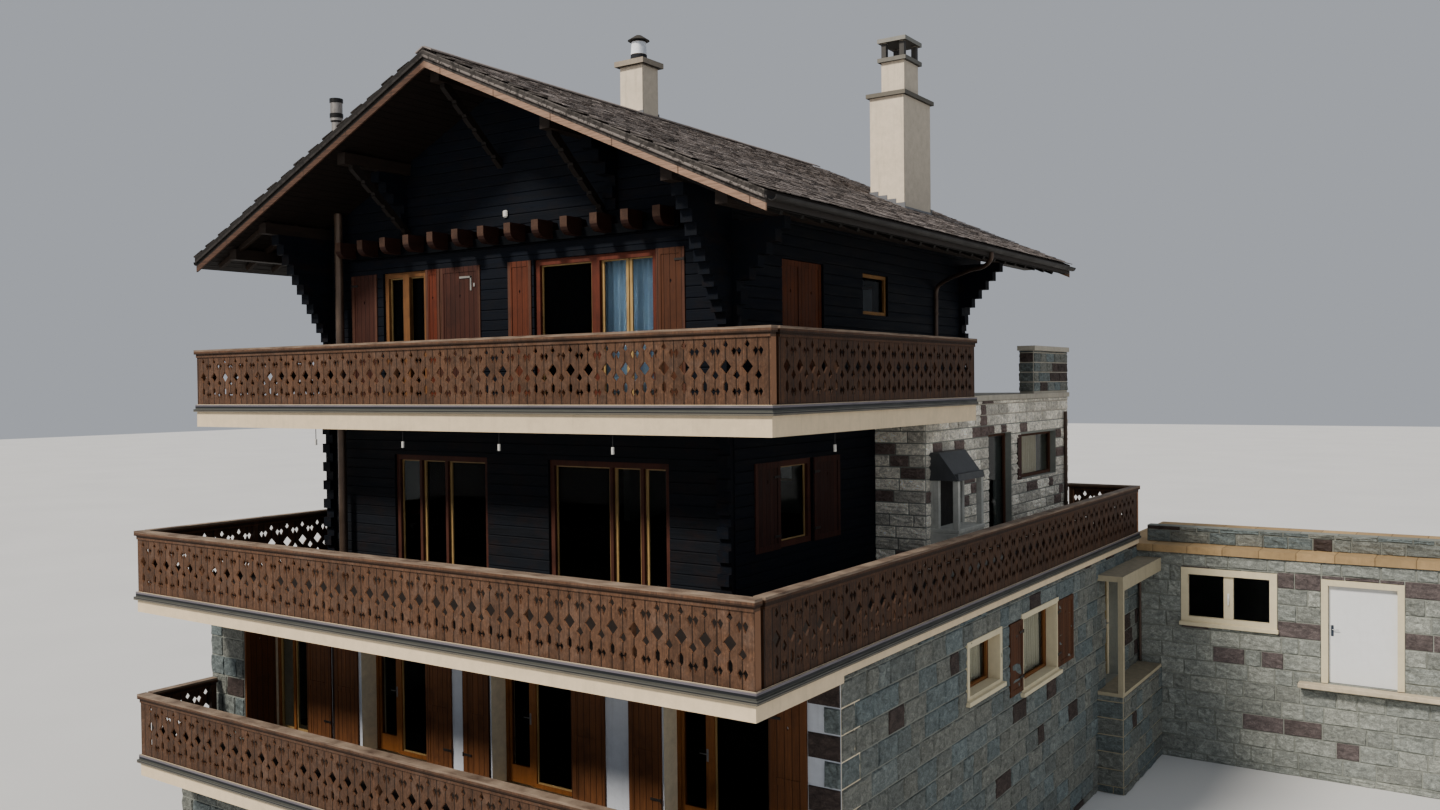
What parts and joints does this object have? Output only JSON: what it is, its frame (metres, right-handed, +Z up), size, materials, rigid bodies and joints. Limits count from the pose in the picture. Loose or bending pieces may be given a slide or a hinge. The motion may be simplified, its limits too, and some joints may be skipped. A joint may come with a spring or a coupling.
{
  "type": "alpine chalet",
  "caption": "Alpine chalet with a stone garden storey, squared-log upper storeys, fretwork balconies, a slate gable roof, stone rear wing and low annex.",
  "frame": {"origin": "underside of the garden storey's front base wall, at mid thickness, under the ridge line", "axes": "+Z up, +X to the right along the gable front, +Y towards the back"},
  "size_m": [19.875, 19.905, 14.89],
  "materials": {
    "ashlar_stone": "split face",
    "pale_render": "smooth",
    "concrete": "painted",
    "flashing_metal": "matt",
    "fretwork_wood": "weathered",
    "dark_timber": "weathered",
    "beam_timber": "weathered",
    "slate": "slate",
    "verge_wood": "weathered",
    "gutter_metal": "satin",
    "chimney_render": "rough",
    "steel": "satin",
    "sandstone": "sawn",
    "larch": "varnished",
    "cream_stone": "smooth",
    "shutter_wood": "painted",
    "brown_wood": "painted",
    "window_glass": "clear",
    "white_paint": "painted",
    "olive_wood": "painted"
  },
  "bodies": {
    "house": {"base_walls": "ashlar_stone", "corner_pier": "ashlar_stone", "garden_front_piers": "pale_render", "garden_front_lintel": "ashlar_stone", "garden_side_walls": "ashlar_stone", "garden_rear_wall": "ashlar_stone", "door_surrounds": "ashlar_stone", "garden_floor": "concrete", "deck_slabs": "concrete", "deck_flashings": "flashing_metal", "lower_rail_front": "fretwork_wood", "lower_rail_left": "fretwork_wood", "terrace_rail_front": "fretwork_wood", "terrace_rail_right": "fretwork_wood", "terrace_rail_left": "fretwork_wood", "terrace_rail_rear": "fretwork_wood", "upper_rail_front": "fretwork_wood", "upper_rail_right": "fretwork_wood", "upper_rail_left": "fretwork_wood", "log_fronts": "dark_timber", "log_sides": "dark_timber", "corner_logs": "dark_timber", "roof": "slate", "verge_boards": "verge_wood", "purlins": "beam_timber", "braces": "beam_timber", "gutters": "gutter_metal", "joist_beam": "beam_timber", "chimneys": "chimney_render", "stove_flue": "steel", "wing_side_wall": "ashlar_stone", "wing_rear_wall": "ashlar_stone", "wing_end_walls": "ashlar_stone", "wing_roof": "ashlar_stone", "fireplace": "chimney_render", "annex_long_walls": "ashlar_stone", "annex_side_walls": "ashlar_stone", "annex_roof": "sandstone", "porch": "cream_stone", "garden_frames": "larch", "timber_frames": "larch", "stone_frames": "cream_stone", "door_frames": "cream_stone", "garden_shutters": "brown_wood", "timber_shutters": "shutter_wood", "window_glass": "window_glass"},
    "annex_door": {"annex_door": "white_paint"},
    "entry_door": {"entry_door": "olive_wood"},
    "garden_door_left": {"garden_door_left": "larch", "garden_pane_left": "window_glass"},
    "garden_door_middle": {"garden_door_middle": "larch", "garden_pane_middle": "window_glass"},
    "garden_door_right": {"garden_door_right": "larch", "garden_pane_right": "window_glass"}
  },
  "joints": [
    {"name": "garden_door_left_hinge", "type": "hinge", "parent": "house", "child": "garden_door_left", "pos_m": [-1.887, 0.131, 3.1], "axis": [0, 0, 1], "range_deg": [0, 90]},
    {"name": "garden_door_middle_hinge", "type": "hinge", "parent": "house", "child": "garden_door_middle", "pos_m": [1.083, 0.131, 3.1], "axis": [0, 0, 1], "range_deg": [0, 90]},
    {"name": "garden_door_right_hinge", "type": "hinge", "parent": "house", "child": "garden_door_right", "pos_m": [4.313, 0.131, 3.1], "axis": [0, 0, 1], "range_deg": [0, 90]},
    {"name": "annex_door_hinge", "type": "hinge", "parent": "house", "child": "annex_door", "pos_m": [11.877, 13.491, 2.98], "axis": [0, 0, -1], "range_deg": [0, 90]},
    {"name": "entry_door_hinge", "type": "hinge", "parent": "house", "child": "entry_door", "pos_m": [6.659, 10.983, 2.98], "axis": [0, 0, 1], "range_deg": [0, 90]}
  ]
}
